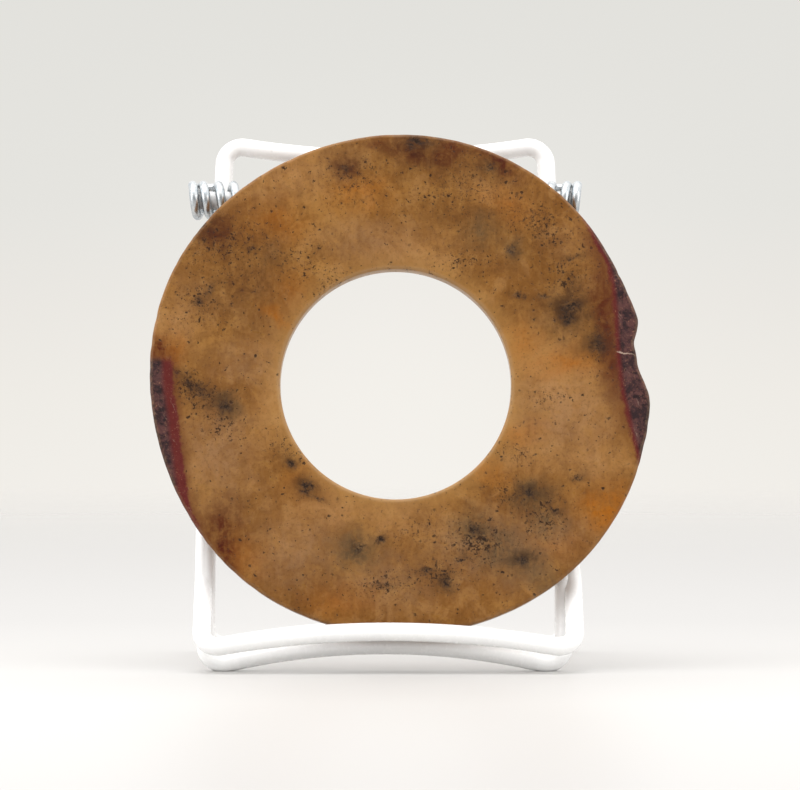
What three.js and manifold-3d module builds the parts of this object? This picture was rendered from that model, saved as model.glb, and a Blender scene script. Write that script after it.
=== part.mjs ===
// A flat stone ring with a chipped edge, standing in a folding display stand of coated wire.
// Millimetres. X runs to the right, Y runs to the back, Z is up and the floor is at Z = 0.
import * as THREE from 'three';
import * as BufferGeometryUtils from 'three/addons/utils/BufferGeometryUtils.js';
import Module from 'manifold-3d';

const wasm = await Module();
wasm.setup();

// Driving dimensions of the ring, whose place is counted from the stand's centre line
const DISC_RADIUS = 55;
const DISC_THICKNESS = 6;
const DISC_EDGE_ROUND = 0.8;
const DISC_LEAN = THREE.MathUtils.degToRad(6);
const DISC_CENTRE = new THREE.Vector3(3.3, 5.8, 62.7);
const HOLE_RADIUS = 25.3;
const HOLE_SHIFT = new THREE.Vector2(-0.93, -0.22);
const OUTLINE_POINTS = 120;
const HOLE_POINTS = 64;

// Driving dimensions of the stand
const WIRE_RADIUS = 2;
const WIRE_SIDES = 10;
const FRAME_FOOT_Y = 2.6;
const FRAME_SLOPE = 0.2165;
const FRAME_FOOT_HALF = 39.2;
const FRAME_TAPER_Z = 26;
const FRAME_TOP_HALF = 36;
const FRAME_TOP_Z = 116.7;
const FOOT_CORNER_Z = 0.6;
const FOOT_BAR_BOW = 5;
const ARCH_BAR_BOW = 3.2;
const CORNER_RADIUS = 4;
const LIP_Y = -5.6;
const LIP_CORNER_Z = 5.2;
const LIP_BOW = 3.9;
const LIP_CENTRE_X = 0.75;
const LIP_HALF = 40.5;
const LIP_MEETS_SIDE_Z = 19;
const LIP_END_Z = 35;

// Driving dimensions of the rear leg and its hinge springs
const HINGE_Y = 17.8;
const HINGE_Z = 103.6;
const LEG_SLOPE = 0.433;
const LEG_TOP_HALF = 27.6;
const LEG_STRAIGHT_HALF = 32.7;
const LEG_NARROW_TOP_Z = 70;
const LEG_NARROW_END_Z = 48;
const LEG_WIDE_Z = 28;
const LEG_WIDE_HALF = 41.8;
const LEG_FOOT_HALF = 42;
const LEG_CORNER_Z = 0.7;
const LEG_BAR_BOW = 4.6;
const STUB_END_X = 43.3;
const SPRING_WIRE = 1.05;
const SPRING_MEAN_RADIUS = 3.35;
const SPRING_INNER_X = 32.95;
const SPRING_OUTER_X = 42.85;
const SPRING_OPEN_TURNS = 2.25;
const SPRING_CLOSED_PITCH = 2.3;
const SPRING_SIDES = 8;
const SPRING_STEPS_PER_TURN = 16;
const TAIL_BACK_Y = 28.9;
const TAIL_END_X = 34.6;

const JADE = new THREE.MeshStandardMaterial({ color: 0x9a6f3a, roughness: 0.35, metalness: 0 });
const COATED_WIRE = new THREE.MeshStandardMaterial({ color: 0xf2f1ee, roughness: 0.3, metalness: 0 });
const CHROME = new THREE.MeshStandardMaterial({ color: 0xc9ccd0, roughness: 0.12, metalness: 1 });

// A route whose stations are used exactly as given, so bends are fine and straights are coarse
class Route extends THREE.Curve {
  constructor(stations, closed = false) {
    super();
    this.stations = stations;
    this.closed = closed;
  }

  station(index) {
    const count = this.stations.length;
    if (this.closed) return this.stations[(index + count) % count];
    return this.stations[Math.min(Math.max(index, 0), count - 1)];
  }

  spans() {
    return this.closed ? this.stations.length : this.stations.length - 1;
  }

  getPoint(t, target = new THREE.Vector3()) {
    return target.copy(this.station(Math.round(t * this.spans())));
  }

  getPointAt(t, target) {
    return this.getPoint(t, target);
  }

  getTangentAt(t, target = new THREE.Vector3()) {
    const index = Math.round(t * this.spans());
    const ahead = this.station(index + 1).clone().sub(this.station(index)).normalize();
    const behind = this.station(index).clone().sub(this.station(index - 1)).normalize();
    return target.copy(ahead.add(behind).normalize());
  }
}

// Stations that round off one corner of a route with an arc
function roundedCorner(before, corner, after, radius, steps) {
  const inward = before.clone().sub(corner).normalize();
  const outward = after.clone().sub(corner).normalize();
  const half = inward.angleTo(outward) / 2;
  const setback = radius / Math.tan(half);
  const centre = inward.clone().add(outward).normalize().multiplyScalar(radius / Math.sin(half)).add(corner);
  const first = inward.clone().multiplyScalar(setback).add(corner).sub(centre);
  const last = outward.clone().multiplyScalar(setback).add(corner).sub(centre);
  const axis = first.clone().cross(last).normalize();
  const sweep = first.angleTo(last);
  const arc = [];
  for (let i = 0; i <= steps; i += 1) {
    arc.push(first.clone().applyAxisAngle(axis, (sweep * i) / steps).add(centre));
  }
  return arc;
}

// A route through corner points, each rounded off by its own radius
function bentRoute(corners, closed = false) {
  const count = corners.length;
  const stations = [];
  corners.forEach(({ at, radius, steps = 5 }, i) => {
    if (!radius || (!closed && (i === 0 || i === count - 1))) {
      stations.push(at.clone());
      return;
    }
    const before = corners[(i - 1 + count) % count].at;
    const after = corners[(i + 1) % count].at;
    stations.push(...roundedCorner(before, at, after, radius, steps));
  });
  return stations;
}

// Corner points of a crossbar bowed towards the middle, from the right end to the left
function bowedBar(half, bow, place, steps = 12) {
  const bar = [];
  for (let i = 1; i < steps; i += 1) {
    const x = half * (1 - (2 * i) / steps);
    bar.push({ at: place(x, bow * (1 - (x / half) ** 2)) });
  }
  return bar;
}

function circleShape(radius, sides) {
  const shape = new THREE.Shape();
  for (let i = 0; i < sides; i += 1) {
    const angle = (2 * Math.PI * (i + 0.5)) / sides;
    const x = radius * Math.cos(angle);
    const y = radius * Math.sin(angle);
    if (i === 0) shape.moveTo(x, y);
    else shape.lineTo(x, y);
  }
  shape.closePath();
  return shape;
}

function openWire(stations, radius, sides) {
  const path = new Route(stations);
  return new THREE.ExtrudeGeometry(circleShape(radius, sides), { steps: path.spans(), extrudePath: path });
}

function closedWire(stations, radius, sides) {
  const path = new Route(stations, true);
  return new THREE.TubeGeometry(path, path.spans(), radius, sides, true);
}

function toSolid(geometry) {
  const bare = geometry.clone();
  bare.deleteAttribute('normal');
  bare.deleteAttribute('uv');
  const merged = BufferGeometryUtils.mergeVertices(bare, 1e-4);
  return new wasm.Manifold(new wasm.Mesh({
    numProp: 3,
    vertProperties: new Float32Array(merged.attributes.position.array),
    triVerts: new Uint32Array(merged.index.array),
  }));
}

function toGeometry(solid) {
  const mesh = solid.getMesh();
  const geometry = new THREE.BufferGeometry();
  geometry.setAttribute('position', new THREE.BufferAttribute(new Float32Array(mesh.vertProperties), 3));
  geometry.setIndex(new THREE.BufferAttribute(new Uint32Array(mesh.triVerts), 1));
  geometry.computeVertexNormals();
  return geometry;
}

// The floor wears a small flat on the underside of each foot
function cutFlatAtFloor(solid) {
  const size = 300;
  const below = new THREE.BoxGeometry(size, size, size);
  below.translate(0, 0, -size / 2);
  return solid.subtract(toSolid(below));
}

// A soft dip in the ring's outline: full between the inner angles, gone at the outer ones
function dip(angle, from, fullFrom, fullTo, to) {
  const rise = THREE.MathUtils.smoothstep(angle, from, fullFrom);
  const fall = 1 - THREE.MathUtils.smoothstep(angle, fullTo, to);
  return rise * fall;
}

// Radius of the ring's outer edge, hand-cut and not quite round, with a chip and a worn hollow.
// The angle is in degrees, anticlockwise from the right as seen from the front.
function outlineRadius(angle) {
  const wave = (size, times, peak) => size * Math.cos(THREE.MathUtils.degToRad(times * (angle - peak)));
  const handCut = wave(0.43, 2, -50.8) + wave(0.27, 4, -30.5) + wave(0.14, 5, 14.7);
  const fullerFoot = 0.5 * Math.exp(-(((angle + 90) / 13) ** 2));
  const wornHollow = 0.8 * Math.exp(-(((angle - 25) / 15) ** 2));
  const chip = 2.4 * dip(angle, -5, 5, 8.5, 15.5);
  return DISC_RADIUS + handCut + fullerFoot - wornHollow - chip;
}

// The ring is cut flat and then turned up, so its face looks along -Y
function discGeometry() {
  const outline = new THREE.Shape();
  for (let i = 0; i < OUTLINE_POINTS; i += 1) {
    const degrees = (360 * i) / OUTLINE_POINTS - 180;
    const angle = THREE.MathUtils.degToRad(degrees);
    const radius = outlineRadius(degrees);
    if (i === 0) outline.moveTo(radius * Math.cos(angle), radius * Math.sin(angle));
    else outline.lineTo(radius * Math.cos(angle), radius * Math.sin(angle));
  }
  outline.closePath();
  const hole = new THREE.Path();
  for (let i = 0; i < HOLE_POINTS; i += 1) {
    const angle = (-2 * Math.PI * i) / HOLE_POINTS;
    const x = HOLE_SHIFT.x + HOLE_RADIUS * Math.cos(angle);
    const y = HOLE_SHIFT.y + HOLE_RADIUS * Math.sin(angle);
    if (i === 0) hole.moveTo(x, y);
    else hole.lineTo(x, y);
  }
  hole.closePath();
  outline.holes.push(hole);
  const flat = DISC_THICKNESS - 2 * DISC_EDGE_ROUND;
  const geometry = new THREE.ExtrudeGeometry(outline, {
    depth: flat,
    bevelThickness: DISC_EDGE_ROUND,
    bevelSize: DISC_EDGE_ROUND,
    bevelOffset: -DISC_EDGE_ROUND,
    bevelSegments: 3,
  });
  geometry.translate(0, 0, -flat / 2);
  geometry.rotateX(Math.PI / 2);
  return geometry;
}

function makeDisc() {
  const mesh = new THREE.Mesh(discGeometry(), JADE);
  mesh.name = 'jade_disc';
  mesh.position.copy(DISC_CENTRE);
  mesh.rotation.x = -DISC_LEAN;
  return mesh;
}

// A point of the leaning frame, from its sideways place and its height
function onFrame(x, z) {
  return new THREE.Vector3(x, FRAME_FOOT_Y + FRAME_SLOPE * (z - WIRE_RADIUS), z);
}

// Half the width between the frame's sides at a height
function frameHalf(z) {
  const share = Math.max((z - FRAME_TAPER_Z) / (FRAME_TOP_Z - FRAME_TAPER_Z), 0);
  return FRAME_FOOT_HALF + share * (FRAME_TOP_HALF - FRAME_FOOT_HALF);
}

// The closed loop: foot bar below, arch bar above, both bowed towards the middle of the frame
function frameStations() {
  const foot = (x, rise) => onFrame(x, FOOT_CORNER_Z + rise);
  const arch = (x, fall) => onFrame(-x, FRAME_TOP_Z - fall);
  const corner = (x, z) => ({ at: onFrame(x, z), radius: CORNER_RADIUS, steps: 6 });
  const taper = (x) => ({ at: onFrame(x, FRAME_TAPER_Z), radius: 60, steps: 2 });
  return bentRoute([
    ...bowedBar(FRAME_FOOT_HALF, FOOT_BAR_BOW, foot),
    corner(-FRAME_FOOT_HALF, FOOT_CORNER_Z),
    taper(-FRAME_FOOT_HALF),
    corner(-FRAME_TOP_HALF, FRAME_TOP_Z),
    ...bowedBar(FRAME_TOP_HALF, ARCH_BAR_BOW, arch),
    corner(FRAME_TOP_HALF, FRAME_TOP_Z),
    taper(FRAME_FOOT_HALF),
    corner(FRAME_FOOT_HALF, FOOT_CORNER_Z),
  ], true);
}

// The lip in front of the ring: a bowed bar whose ends turn up and back onto the frame's sides
function lipStations() {
  const bar = (x, rise) => new THREE.Vector3(LIP_CENTRE_X + x, LIP_Y, LIP_CORNER_Z + rise);
  const side = (sign) => {
    const x = LIP_CENTRE_X + sign * LIP_HALF;
    return [
      { at: bar(sign * LIP_HALF, 0), radius: CORNER_RADIUS, steps: 6 },
      { at: onFrame(x, LIP_MEETS_SIDE_Z), radius: 7, steps: 4 },
      { at: onFrame(sign * (frameHalf(LIP_END_Z) + 0.7), LIP_END_Z) },
    ];
  };
  return bentRoute([...side(1).reverse(), ...bowedBar(LIP_HALF, LIP_BOW, bar), ...side(-1)]);
}

function makeFrontFrame() {
  const loop = toSolid(closedWire(frameStations(), WIRE_RADIUS, WIRE_SIDES));
  const lip = toSolid(openWire(lipStations(), WIRE_RADIUS, WIRE_SIDES));
  const mesh = new THREE.Mesh(toGeometry(cutFlatAtFloor(loop.add(lip))), COATED_WIRE);
  mesh.name = 'front_frame';
  return mesh;
}

// A point of the rear leg, from its sideways place and its height
function onLeg(x, z) {
  return new THREE.Vector3(x, HINGE_Y + LEG_SLOPE * (HINGE_Z - z), z);
}

// The rear leg: stubs in the hinge springs, sides that splay out at the bottom, and a foot bar
function legStations() {
  const foot = (x, rise) => onLeg(x, LEG_CORNER_Z + rise);
  const side = (sign) => [
    { at: onLeg(sign * STUB_END_X, HINGE_Z) },
    { at: onLeg(sign * LEG_TOP_HALF, HINGE_Z), radius: 3, steps: 6 },
    { at: onLeg(sign * LEG_STRAIGHT_HALF, LEG_NARROW_TOP_Z), radius: 40, steps: 2 },
    { at: onLeg(sign * LEG_STRAIGHT_HALF, LEG_NARROW_END_Z), radius: 16, steps: 3 },
    { at: onLeg(sign * LEG_WIDE_HALF, LEG_WIDE_Z), radius: 16, steps: 3 },
    { at: onLeg(sign * LEG_FOOT_HALF, LEG_CORNER_Z), radius: CORNER_RADIUS, steps: 6 },
  ];
  return bentRoute([...side(1), ...bowedBar(LEG_FOOT_HALF, LEG_BAR_BOW, foot), ...side(-1).reverse()]);
}

function makeRearLeg() {
  const leg = toSolid(openWire(legStations(), WIRE_RADIUS, WIRE_SIDES));
  const mesh = new THREE.Mesh(toGeometry(cutFlatAtFloor(leg)), COATED_WIRE);
  mesh.name = 'rear_leg';
  return mesh;
}

// A hinge spring: open turns, one closed turn at the outer end, and a tail hooked behind the frame
function springStations(sign) {
  const openSteps = Math.round(SPRING_OPEN_TURNS * SPRING_STEPS_PER_TURN);
  const steps = openSteps + SPRING_STEPS_PER_TURN;
  const openRun = SPRING_OUTER_X - SPRING_CLOSED_PITCH - SPRING_INNER_X;
  const stations = [];
  for (let i = 0; i <= steps; i += 1) {
    const turn = (2 * Math.PI * (i - steps)) / SPRING_STEPS_PER_TURN;
    const opened = Math.min(i / openSteps, 1) * openRun;
    const closed = (Math.max(i - openSteps, 0) / SPRING_STEPS_PER_TURN) * SPRING_CLOSED_PITCH;
    stations.push(new THREE.Vector3(
      sign * (SPRING_INNER_X + opened + closed),
      HINGE_Y + SPRING_MEAN_RADIUS * Math.sin(turn),
      HINGE_Z + SPRING_MEAN_RADIUS * Math.cos(turn),
    ));
  }
  const topOut = stations[steps];
  const backOut = new THREE.Vector3(sign * SPRING_OUTER_X, TAIL_BACK_Y, topOut.z);
  const backIn = new THREE.Vector3(sign * TAIL_END_X, TAIL_BACK_Y, topOut.z);
  return [...stations, ...roundedCorner(topOut, backOut, backIn, 2, 5), backIn];
}

function makeSpring(sign, name) {
  const mesh = new THREE.Mesh(openWire(springStations(sign), SPRING_WIRE, SPRING_SIDES), CHROME);
  mesh.name = name;
  return mesh;
}

const discInStand = new THREE.Group();
discInStand.add(makeDisc());
discInStand.add(makeFrontFrame());
discInStand.add(makeRearLeg());
discInStand.add(makeSpring(-1, 'spring_left'));
discInStand.add(makeSpring(1, 'spring_right'));

// The origin is on the floor, under the middle of the whole
const reach = new THREE.Box3().setFromObject(discInStand);
const middle = reach.getCenter(new THREE.Vector3());
discInStand.children.forEach((piece) => {
  piece.position.x -= middle.x;
  piece.position.y -= middle.y;
});

export default discInStand;
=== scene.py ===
"""Stone ring in a folding wire display stand: surfaces, light and camera.

Shapes are written in millimetres from the stand's centre line, as in the CAD, and turned
into metres of the shared frame by place().
"""

import math
import random

import bpy
from mathutils import Matrix, Vector


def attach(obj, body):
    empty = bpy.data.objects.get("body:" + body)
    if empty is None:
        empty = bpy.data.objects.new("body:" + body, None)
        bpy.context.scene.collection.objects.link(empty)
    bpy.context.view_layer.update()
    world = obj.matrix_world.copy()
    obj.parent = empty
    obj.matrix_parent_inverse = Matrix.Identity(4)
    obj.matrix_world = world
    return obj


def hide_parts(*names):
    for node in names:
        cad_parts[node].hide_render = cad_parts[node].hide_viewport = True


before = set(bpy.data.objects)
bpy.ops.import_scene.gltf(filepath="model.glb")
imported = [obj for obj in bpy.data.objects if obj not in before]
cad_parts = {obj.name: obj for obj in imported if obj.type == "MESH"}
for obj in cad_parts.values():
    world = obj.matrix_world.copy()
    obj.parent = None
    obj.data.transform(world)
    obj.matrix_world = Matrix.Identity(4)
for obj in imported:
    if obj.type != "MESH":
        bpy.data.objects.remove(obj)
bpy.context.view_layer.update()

MM = 0.001
TO_MM = 1000.0
STAND_TO_FRAME = Vector((-3.21693, -28.20653, 0.0))

# ---------------------------------------------------------------- dimensions, in mm
DISC_RADIUS = 55.0
DISC_HALF = 3.0
EDGE_ROUND = 0.8
DISC_LEAN = math.radians(6.0)
DISC_CENTRE = Vector((3.3, 5.8, 62.7))
HOLE_RADIUS = 25.3
HOLE_SHIFT = Vector((-0.93, -0.22))
DISC_STEPS = 720
FACE_RINGS = (0.12, 0.3, 0.5, 0.7, 0.88)

WIRE = 2.0
WIRE_SIDES = 24
FOOT_Y, SLOPE = 2.6, 0.2165
FOOT_HALF, TAPER_Z, TOP_HALF, TOP_Z = 39.2, 26.0, 36.0, 116.7
FOOT_CORNER_Z, FOOT_BOW, ARCH_BOW = 0.6, 5.0, 3.2
CORNER = 4.0
CORNER_ROOM = CORNER * 1.15
LIP_Y, LIP_CORNER_Z, LIP_BOW = -5.6, 5.2, 3.9
LIP_CENTRE_X, LIP_HALF = 0.75, 40.5
LIP_MEETS_Z, LIP_END_Z = 19.0, 35.0

HINGE_Y, HINGE_Z, LEG_SLOPE = 17.8, 103.6, 0.433
LEG_TOP_HALF, LEG_STRAIGHT_HALF = 27.6, 32.7
LEG_NARROW_TOP_Z, LEG_NARROW_END_Z, LEG_WIDE_Z = 70.0, 48.0, 28.0
LEG_WIDE_HALF, LEG_FOOT_HALF, LEG_CORNER_Z, LEG_BOW = 41.8, 42.0, 0.7, 4.6
STUB_END = 43.3

COIL_WIRE, COIL_MEAN = 1.05, 3.35
COIL_INNER_X, COIL_OUTER_X = 32.95, 42.85
COIL_OPEN_TURNS, COIL_CLOSED_PITCH = 2.25, 2.3
TAIL_Y, TAIL_END_X = 28.9, 34.6


# ---------------------------------------------------------------- mesh helpers
def place(p):
    return (Vector(p) + STAND_TO_FRAME) * MM


def smooth(a, b, x):
    t = min(max((x - a) / (b - a), 0.0), 1.0)
    return t * t * (3 - 2 * t)


def round_corner(before, corner, after, radius, steps):
    a = (before - corner).normalized()
    b = (after - corner).normalized()
    half = a.angle(b) / 2
    setback = radius / math.tan(half)
    centre = corner + (a + b).normalized() * (radius / math.sin(half))
    first = corner + a * setback - centre
    last = corner + b * setback - centre
    axis = first.cross(last).normalized()
    sweep = first.angle(last)
    return [centre + Matrix.Rotation(sweep * i / steps, 3, axis) @ first for i in range(steps + 1)]


def bent(corners, closed=False):
    """Points of a wire through (point, bend radius, steps) corners."""
    out = []
    count = len(corners)
    for i, (at, radius, steps) in enumerate(corners):
        if radius == 0 or (not closed and i in (0, count - 1)):
            out.append(Vector(at))
            continue
        before, after = corners[i - 1][0], corners[(i + 1) % count][0]
        out += round_corner(Vector(before), Vector(at), Vector(after), radius, steps)
    return out


def bowed(half, bow, where, steps=36):
    """Points of a bar bowed by a parabola, without those inside its rounded corners."""
    out = []
    for i in range(1, steps):
        x = half * (1 - 2 * i / steps)
        if abs(abs(x) - half) < CORNER_ROOM:
            continue
        out.append((where(x, bow * (1 - (x / half) ** 2)), 0, 0))
    return out


def sweep_wire(points, radius, sides, closed=False, end_round=0.35):
    """A round wire along points, with its ends rounded off a little. Also gives the end faces."""
    pts = [Vector(p) for p in points]
    count = len(pts)
    tangents = []
    for i in range(count):
        if closed:
            a, b = pts[i - 1], pts[(i + 1) % count]
            t = (b - pts[i]).normalized() + (pts[i] - a).normalized()
        else:
            ahead = pts[min(i + 1, count - 1)] - pts[i]
            behind = pts[i] - pts[max(i - 1, 0)]
            t = Vector(ahead).normalized() + Vector(behind).normalized()
        tangents.append(t.normalized())
    seed = Vector((1, 0, 0)) if abs(tangents[0].x) < 0.8 else Vector((0, 1, 0))
    normal = (seed - tangents[0] * seed.dot(tangents[0])).normalized()
    frames = [normal]
    for i in range(1, count):
        axis = tangents[i - 1].cross(tangents[i])
        if axis.length > 1e-9:
            turn = Matrix.Rotation(tangents[i - 1].angle(tangents[i]), 3, axis.normalized())
            normal = turn @ normal
        normal = (normal - tangents[i] * normal.dot(tangents[i])).normalized()
        frames.append(normal)
    twist = 0.0
    if closed:
        axis = tangents[-1].cross(tangents[0])
        last = frames[-1]
        if axis.length > 1e-9:
            last = Matrix.Rotation(tangents[-1].angle(tangents[0]), 3, axis.normalized()) @ last
        side = tangents[0].cross(frames[0])
        twist = math.atan2(last.dot(side), last.dot(frames[0]))
    verts, faces, ends = [], [], []
    rings = []
    # Extra rings at an open end, as (place along the wire, size), from the end inwards
    end_rings = [(0.0, 1 - end_round), (end_round * 0.3 * radius, 1 - end_round * 0.3),
                 (end_round * radius, 1.0)]
    for i in range(count):
        scales = [(0.0, 1.0)]
        if not closed and i == 0:
            scales = end_rings
        elif not closed and i == count - 1:
            scales = [(-shift, scale) for shift, scale in reversed(end_rings)]
        side = tangents[i].cross(frames[i])
        for shift, scale in scales:
            ring = []
            for k in range(sides):
                angle = 2 * math.pi * k / sides - twist * i / count
                offset = frames[i] * math.cos(angle) + side * math.sin(angle)
                ring.append(len(verts))
                verts.append(pts[i] + tangents[i] * shift + offset * radius * scale)
            rings.append(ring)
    spans = len(rings) if closed else len(rings) - 1
    for i in range(spans):
        a, b = rings[i], rings[(i + 1) % len(rings)]
        for k in range(sides):
            faces.append((a[k], a[(k + 1) % sides], b[(k + 1) % sides], b[k]))
    if not closed:
        ends = [len(faces), len(faces) + 1]
        faces.append(tuple(reversed(rings[0])))
        faces.append(tuple(rings[-1]))
    return verts, faces, ends


def make_piece(name, parts, materials, floor=False):
    """One object of several (verts, faces, end faces) parts.

    End faces take the second material. With floor, nothing lies below Z 0.
    """
    verts, faces, ends = [], [], []
    for v, f, e in parts:
        base = len(verts)
        ends += [len(faces) + i for i in e]
        verts += [place((p.x, p.y, max(p.z, 0.0) if floor else p.z)) for p in v]
        faces += [tuple(i + base for i in face) for face in f]
    mesh = bpy.data.meshes.new(name)
    mesh.from_pydata(verts, [], faces)
    mesh.update()
    for poly in mesh.polygons:
        poly.use_smooth = True
    for material in materials:
        mesh.materials.append(material)
    if len(materials) > 1:
        for i in ends:
            mesh.polygons[i].material_index = 1
            mesh.polygons[i].use_smooth = False
    obj = bpy.data.objects.new(name, mesh)
    bpy.context.scene.collection.objects.link(obj)
    return obj


# ---------------------------------------------------------------- node helpers
class Nodes:
    """Short calls that build a shader tree."""

    def __init__(self, tree):
        self.tree = tree
        self.tree.nodes.clear()

    def link(self, a, b):
        self.tree.links.new(a, b)

    def new(self, kind, **values):
        node = self.tree.nodes.new(kind)
        for key, value in values.items():
            setattr(node, key, value)
        return node

    def put(self, socket, value):
        if isinstance(value, bpy.types.NodeSocket):
            self.link(value, socket)
        else:
            socket.default_value = value

    def math(self, op, a, b=0.0, c=None, clamp=False):
        node = self.new("ShaderNodeMath", operation=op, use_clamp=clamp)
        self.put(node.inputs[0], a)
        self.put(node.inputs[1], b)
        if c is not None:
            self.put(node.inputs[2], c)
        return node.outputs[0]

    def vector(self, op, a, b):
        node = self.new("ShaderNodeVectorMath", operation=op)
        self.put(node.inputs[0], a)
        self.put(node.inputs[3 if op == "SCALE" else 1], b)
        return node.outputs[0]

    def noise(self, at, scale, detail=4.0, rough=0.55, distortion=0.0, colour=False):
        node = self.new("ShaderNodeTexNoise")
        self.put(node.inputs["Vector"], at)
        node.inputs["Scale"].default_value = scale
        node.inputs["Detail"].default_value = detail
        node.inputs["Roughness"].default_value = rough
        node.inputs["Distortion"].default_value = distortion
        return node.outputs["Color" if colour else "Fac"]

    def dots(self, at, scale, randomness=1.0):
        node = self.new("ShaderNodeTexVoronoi")
        self.put(node.inputs["Vector"], at)
        node.inputs["Scale"].default_value = scale
        node.inputs["Randomness"].default_value = randomness
        return node.outputs["Distance"], node.outputs["Color"]

    def ramp(self, value, low, high, to_low=0.0, to_high=1.0):
        node = self.new("ShaderNodeMapRange", interpolation_type="SMOOTHSTEP")
        self.put(node.inputs["Value"], value)
        limits = {"From Min": low, "From Max": high, "To Min": to_low, "To Max": to_high}
        for key, limit in limits.items():
            self.put(node.inputs[key], limit)
        return node.outputs[0]

    def mix(self, fac, a, b, blend="MIX"):
        node = self.new("ShaderNodeMix", data_type="RGBA", blend_type=blend)
        self.put(node.inputs[0], fac)
        for socket, value in ((node.inputs[6], a), (node.inputs[7], b)):
            self.put(socket, value if isinstance(value, bpy.types.NodeSocket) else (*value, 1.0))
        return node.outputs[2]

    def blob(self, at, x, z, rx, rz, turn, depth):
        """1 at a place on the front face, falling softly to 0 at its radii. In mm."""
        mapping = self.new("ShaderNodeMapping", vector_type="TEXTURE")
        self.put(mapping.inputs["Vector"], at)
        mapping.inputs["Location"].default_value = (x, -DISC_HALF, z)
        mapping.inputs["Rotation"].default_value = (0.0, math.radians(-turn), 0.0)
        mapping.inputs["Scale"].default_value = (rx, depth, rz)
        gradient = self.new("ShaderNodeTexGradient", gradient_type="QUADRATIC_SPHERE")
        self.link(mapping.outputs[0], gradient.inputs[0])
        return gradient.outputs["Fac"]

    def bump(self, height, strength, distance, before=None):
        node = self.new("ShaderNodeBump")
        node.inputs["Strength"].default_value = strength
        node.inputs["Distance"].default_value = distance
        self.put(node.inputs["Height"], height)
        if before is not None:
            self.link(before, node.inputs["Normal"])
        return node.outputs[0]

    def curve(self, value, low, high, points):
        """A line through (input, output) points, for the border of a coloured skin."""
        node = self.new("ShaderNodeFloatCurve")
        self.put(node.inputs["Value"], self.ramp_linear(value, low, high))
        line = node.mapping.curves[0]
        outs = [p[1] for p in points]
        base, span = min(outs), max(outs) - min(outs)
        spots = [((a - low) / (high - low), (b - base) / span) for a, b in points]
        line.points[0].location = spots[0]
        line.points[1].location = spots[-1]
        for spot in spots[1:-1]:
            line.points.new(*spot)
        for point in line.points:
            point.handle_type = "AUTO_CLAMPED"
        node.mapping.update()
        return self.math("MULTIPLY_ADD", node.outputs[0], span, base)

    def ramp_linear(self, value, low, high):
        node = self.new("ShaderNodeMapRange", interpolation_type="LINEAR")
        self.put(node.inputs["Value"], value)
        node.inputs["From Min"].default_value = low
        node.inputs["From Max"].default_value = high
        return node.outputs[0]

    def coordinates_mm(self):
        return self.vector("SCALE", self.new("ShaderNodeTexCoord").outputs["Object"], TO_MM)

    def stretched(self, at, turn, scale, kind="POINT"):
        """Coordinates turned about Y and scaled, for grain that runs one way."""
        mapping = self.new("ShaderNodeMapping", vector_type=kind)
        self.link(at, mapping.inputs["Vector"])
        mapping.inputs["Rotation"].default_value = (0.0, math.radians(turn), 0.0)
        mapping.inputs["Scale"].default_value = scale
        return mapping.outputs[0]


class Surface(Nodes):
    """A material with one Principled shader on its output."""

    def __init__(self, name):
        self.material = bpy.data.materials.new(name)
        self.material.use_nodes = True
        super().__init__(self.material.node_tree)
        self.out = self.new("ShaderNodeOutputMaterial")
        self.shader = self.new("ShaderNodeBsdfPrincipled")
        self.link(self.shader.outputs[0], self.out.inputs["Surface"])

    def set(self, **values):
        """Plain numbers on the shader's own sockets: Coat_Weight stands for Coat Weight."""
        for key, value in values.items():
            self.shader.inputs[key.replace("_", " ")].default_value = value


# ---------------------------------------------------------------- the stone
# Places are in mm from the ring's centre on its front face: x to the right, z up.
# Each stain is (x, z, half width, half height, turn in degrees, strength).
PALE = [
    (34.0, -2.0, 17, 17, 0, 0.95), (-15.0, -27.5, 13, 7, 0, 0.7), (0.0, 28.5, 16, 7, 0, 0.6),
    (-39.5, -19.0, 12, 15, 0, 0.45), (43.0, -17.0, 10, 8, 0, 0.7), (-49.0, 13.5, 7, 12, -15, 0.75),
    (-23.0, 46.0, 16, 7, 25, 0.6), (21.0, 42.0, 11, 5, -25, 0.3), (-27.5, -3.0, 5, 13, 0, 0.6),
    (-2.0, -29.5, 12, 6, 0, 0.6), (30.0, -14.0, 10, 6, 20, 0.6), (38.0, 30.5, 7, 6, 0, 0.3),
    (-27.5, 9.0, 6, 9, 0, 0.35), (46.5, -34.0, 7, 6, 0, 0.4), (-24.0, -33.0, 12, 9, 0, 0.4),
]
BROWN = [
    (-39.0, 33.0, 12, 9, 30, 0.9), (-31.0, 31.5, 9, 8, 0, 0.7), (-33.5, 21.5, 15, 12, 0, 0.75),
    (-42.0, 19.0, 9, 7, 0, 0.5), (8.0, 50.0, 17, 7, 0, 0.95), (-11.0, 48.3, 8, 6, 0, 0.8),
    (21.0, 48.5, 8, 4, -25, 0.55), (36.5, 16.0, 11, 9, 0, 0.8), (38.0, 20.0, 7, 6, 0, 0.5),
    (-44.0, -2.5, 12, 5, -32, 0.75), (28.0, -27.5, 8, 6, 0, 0.35), (-15.0, -45.0, 12, 6, -10, 0.25),
    (24.0, -36.0, 13, 8, -20, 0.28), (-38.0, -31.0, 10, 11, 0, 0.55), (20.0, 33.0, 12, 9, 0, 0.45),
    (4.0, -42.0, 14, 6, 0, 0.25), (33.0, 29.0, 10, 6, -30, 0.25), (-31.5, 12.5, 6, 3, -30, 0.5),
    (-19.0, -23.0, 5, 4, 0, 0.5), (10.0, 37.0, 14, 6, 0, 0.35), (45.0, 8.5, 4, 14, 5, 0.6),
    (-46.0, 6.0, 8, 4, 0, 0.3), (29.0, -7.0, 4, 3, 0, 0.2), (40.0, -24.0, 8, 3, 20, 0.35),
]
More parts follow.
